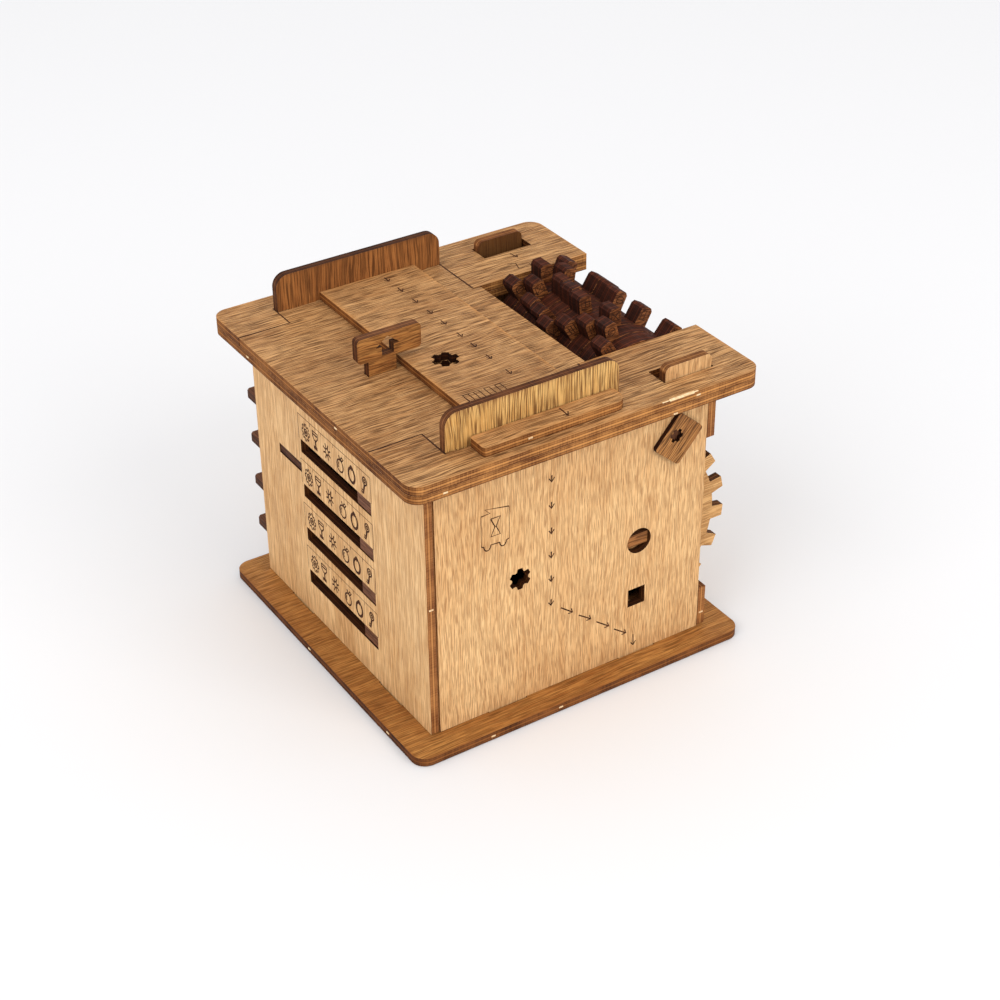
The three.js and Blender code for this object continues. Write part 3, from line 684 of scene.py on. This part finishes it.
def pegDrawings():
    square = [(-1.5, -1.6), (1.5, -1.6), (1.5, 1.6), (-1.5, 1.6), (-1.5, -1.6)]
    return (
        [square, [(-1.5, -1.6), (1.5, 1.6)], [(-1.5, 1.6), (1.5, -1.6)]],
        [[(side, -1.7), (side, 1.7)] for side in (-1.1, 0.0, 1.1)],
        [[(-1.4, -1.4), (0, 1.5), (1.4, -1.4), (-1.4, -1.4)]],
        [arcPath(0, 0, 1.4, steps=10), [(-1.4, 0), (1.4, 0)]],
        [square, [(0, -1.6), (0, 1.6)]],
    )


def engraveDrum():
    style = drumMarks
    drawings = pegDrawings()
    x0, z0 = style["centre"]
    for ring, angles in enumerate(style["pegs"]):
        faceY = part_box(f"drum_ring_{ring + 1}")[0].y
        paths = []
        for peg, degrees in enumerate(angles):
            angle = math.radians(degrees)
            outward = (math.cos(angle), math.sin(angle))
            for path in drawings[(ring * 2 + peg) % len(drawings)]:
                paths.append([
                    (x0 + outward[0] * (style["radius"] + b) + outward[1] * a,
                     z0 + outward[1] * (style["radius"] + b) - outward[0] * a) for a, b in path
                ])
        engrave(f"pegSigns{ring + 1}", "drum", paths, onNearFace(faceY), (0, -1, 0), style["lineWidth"])


nibs = {
    "size": (1.5, 0.22, 0.55),
    "stubs": (
        # (x, y, z, turn about z) in millimetres and degrees
        (-51.3, -64.0, 98.5, 0), (30.5, -64.0, 97.6, 0), (38.9, -64.0, 101.5, 0),
        (-20.0, -60.6, 104.4, 0), (-10.3, -63.5, 1.6, 0), (-36.0, -63.5, 1.4, 0),
        (-62.4, -20.0, 101.4, 90), (-62.4, 38.0, 98.6, 90), (-63.0, 8.0, 1.5, 90), (-63.0, -44.0, 1.5, 90),
        (63.8, 45.0, 101.3, 90), (63.8, -47.0, 98.4, 90), (10.0, 63.6, 101.4, 0), (-30.0, 63.5, 1.5, 0),
        (63.0, 5.0, 1.5, 90),
    ),
    "wallStubs": ((-51.6, -54.15, 51.0), (52.6, -54.25, 8.0)),
}


def addNibs():
    points = [Vector(stub[:3]) * mm for stub in nibs["stubs"]]
    turns = [(0.0, 0.0, math.radians(stub[3])) for stub in nibs["stubs"]]
    points += [Vector(stub) * mm for stub in nibs["wallStubs"]]
    turns += [(0.0, 0.0, 0.0)] * len(nibs["wallStubs"])
    mesh = bpy.data.meshes.new("nibPoints")
    mesh.from_pydata(points, [], [])
    attribute = mesh.attributes.new("turn", "FLOAT_VECTOR", "POINT")
    attribute.data.foreach_set("vector", [value for turn in turns for value in turn])
    size = [value * mm for value in nibs["size"]]
    treeToPiece("breakNibs", "case", mesh, nibTree, {"Nib size": size, "Finish": bareWood})


# Pale strips along the deck's near top edge beside the slot, partly rubbed-bare wood and partly a painted
# highlight on the edge: (start, end, width)
wornEdgeHighlight = {"strokes": ((25.3, 32.0, 0.4), (28.0, 37.2, 0.95), (34.5, 38.8, 0.45)), "height": 0.06}


def addWornEdgeHighlight():
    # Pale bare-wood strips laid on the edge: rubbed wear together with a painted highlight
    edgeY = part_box("deck_near_strip")[0].y
    outward = Vector((0, -1, 1)).normalized()
    for number, (start, end, width) in enumerate(wornEdgeHighlight["strokes"], 1):
        engrave(f"wornEdge{number}", "case", [[(start, 0), (end, 0)]],
                lambda u, v: Vector((u * mm, edgeY, deckZ)), outward, width, bareWood, wornEdgeHighlight["height"])


engraveFront()
engraveLeft()
engraveTop()
burnSeams()
engraveDrum()
addNibs()
addWornEdgeHighlight()
print("engraving finished")


studio = {
    "floorColour": "#ebebec", "floorSize": 12.0, "floorDrop": 0.0003, "floorRoughness": 0.9,
    "floorSpecular": 0.1,
    "worldColour": "#f4f4f5", "worldStrength": 0.98,
    "keyPlace": (0.45, -1.5, 1.15), "keySize": 1.1, "keyPower": 10.5, "keyColour": (1.0, 0.97, 0.94),
    "fillPlace": (-1.4, -0.5, 1.3), "fillSize": 1.2, "fillPower": 11.5,
    "topPlace": (0.2, 0.7, 1.9), "topSize": 1.6, "topPower": 1.5,
    "aim": (0.0, 0.0, 0.05),
    "cameraPlace": (-0.29597, -0.47691, 0.41109), "cameraAim": (-0.017597, -0.039928, 0.070571),
    "cameraRoll": -0.6175, "lens": 72.49,
}


def addFloor():
    size = studio["floorSize"]
    mesh = bpy.data.meshes.new("floor")
    drop = -studio["floorDrop"]
    corners = [(-size, -size, drop), (size, -size, drop), (size, size, drop), (-size, size, drop)]
    mesh.from_pydata(corners, [], [(0, 1, 2, 3)])
    floor = bpy.data.objects.new("floor", mesh)
    bpy.context.scene.collection.objects.link(floor)
    material = bpy.data.materials.new("floorPaper")
    material.use_nodes = True
    shader = material.node_tree.nodes["Principled BSDF"]
    shader.inputs["Base Color"].default_value = paint(studio["floorColour"])
    shader.inputs["Roughness"].default_value = studio["floorRoughness"]
    shader.inputs["Specular IOR Level"].default_value = studio["floorSpecular"]
    mesh.materials.append(material)


def addLight(name, place, size, power, colour=(1.0, 1.0, 1.0)):
    data = bpy.data.lights.new(name, "AREA")
    data.shape = "SQUARE"
    data.size = size
    data.energy = power
    data.color = colour
    light = bpy.data.objects.new(name, data)
    bpy.context.scene.collection.objects.link(light)
    light.location = place
    light.rotation_mode = "QUATERNION"
    light.rotation_quaternion = (Vector(studio["aim"]) - Vector(place)).to_track_quat("-Z", "Y")


def addCamera():
    data = bpy.data.cameras.new("camera")
    data.sensor_width = 36.0
    data.lens = studio["lens"]
    data.clip_start = 0.01
    camera = bpy.data.objects.new("camera", data)
    bpy.context.scene.collection.objects.link(camera)
    place, aim = Vector(studio["cameraPlace"]), Vector(studio["cameraAim"])
    look = (aim - place).to_track_quat("-Z", "Y")
    roll = Quaternion((0, 0, 1), math.radians(studio["cameraRoll"]))
    camera.location = place
    camera.rotation_mode = "QUATERNION"
    camera.rotation_quaternion = look @ roll
    bpy.context.scene.camera = camera


addFloor()
addLight("keyLight", studio["keyPlace"], studio["keySize"], studio["keyPower"], studio["keyColour"])
addLight("fillLight", studio["fillPlace"], studio["fillSize"], studio["fillPower"])
addLight("topLight", studio["topPlace"], studio["topSize"], studio["topPower"])
addCamera()
scene = bpy.context.scene
scene.view_settings.view_transform = "Standard"
world = bpy.data.worlds.new("studio")
world.use_nodes = True
background = world.node_tree.nodes["Background"]
background.inputs[0].default_value = paint(studio["worldColour"])
background.inputs[1].default_value = studio["worldStrength"]
scene.world = world

print("scene ready")
